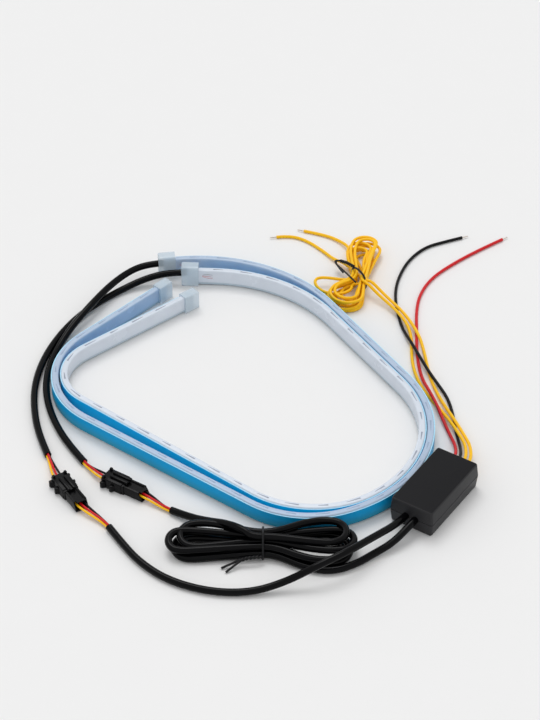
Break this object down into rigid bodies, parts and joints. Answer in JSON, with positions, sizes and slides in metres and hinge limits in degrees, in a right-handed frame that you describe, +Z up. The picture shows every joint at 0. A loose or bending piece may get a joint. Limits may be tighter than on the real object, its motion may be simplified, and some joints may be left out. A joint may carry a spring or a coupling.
{
  "type": "led light strip",
  "caption": "Pair of flexible silicone car light strips with taped backs, plug-in leads, a black control box and loose supply wires, lying in a loop.",
  "frame": {"origin": "on the floor, under the middle of the strips, end caps and control box", "axes": "+X to the right as pictured, +Y away from the viewer, +Z up"},
  "size_m": [0.2757, 0.3127, 0.016],
  "materials": {
    "silicone": "translucent milky silicone, satin",
    "end_cap": "translucent milky silicone, satin",
    "blue_film": "smooth release film",
    "lamp_board": "white flexible circuit",
    "lamp": "clear lamp resin",
    "chip": "moulded black",
    "case": "satin moulded black",
    "circuit": "coated circuit board",
    "metal_can": "drawn metal can",
    "black_cable": "semi-gloss jacket",
    "plug": "moulded black",
    "contact": "plated contact",
    "red_wire": "wire insulation",
    "black_wire": "wire insulation",
    "yellow_wire": "wire insulation",
    "tin": "tinned copper",
    "tie": "coated tie wire"
  },
  "bodies": {
    "root": {"black_tie": "tie", "black_wire": "black_wire", "cable_1": "black_cable", "cable_1_core_black": "black_wire", "cable_1_core_red": "red_wire", "cable_1_core_yellow": "yellow_wire", "cable_2_core_black": "black_wire", "cable_2_core_red": "red_wire", "cable_2_core_yellow": "yellow_wire", "cable_2_far": "black_cable", "cable_2_hank": "black_cable", "cable_2_near": "black_cable", "capacitor": "metal_can", "case_bottom": "case", "case_top": "case", "circuit_board": "circuit", "contact_pins": "contact", "contact_sockets": "contact", "control_chip": "chip", "inner_cable_cap": "end_cap", "inner_driver_chips": "chip", "inner_end_cap": "end_cap", "inner_lamp_board": "lamp_board", "inner_lead": "black_cable", "inner_lead_core_black": "black_wire", "inner_lead_core_red": "red_wire", "inner_lead_core_yellow": "yellow_wire", "inner_leds": "lamp", "inner_sleeve": "silicone", "inner_tape": "blue_film", "outer_cable_cap": "end_cap", "outer_driver_chips": "chip", "outer_end_cap": "end_cap", "outer_lamp_board": "lamp_board", "outer_lead": "black_cable", "outer_lead_core_black": "black_wire", "outer_lead_core_red": "red_wire", "outer_lead_core_yellow": "yellow_wire", "outer_leds": "lamp", "outer_sleeve": "silicone", "outer_tape": "blue_film", "plug_1": "plug", "plug_2": "plug", "power_switches": "chip", "radio_receiver": "metal_can", "red_wire": "red_wire", "socket_1": "plug", "socket_2": "plug", "wire_tips": "tin", "yellow_end_1": "yellow_wire", "yellow_end_2": "yellow_wire", "yellow_hank": "yellow_wire", "yellow_tie": "tie", "yellow_wire_1": "yellow_wire", "yellow_wire_2": "yellow_wire"}
  },
  "joints": []
}
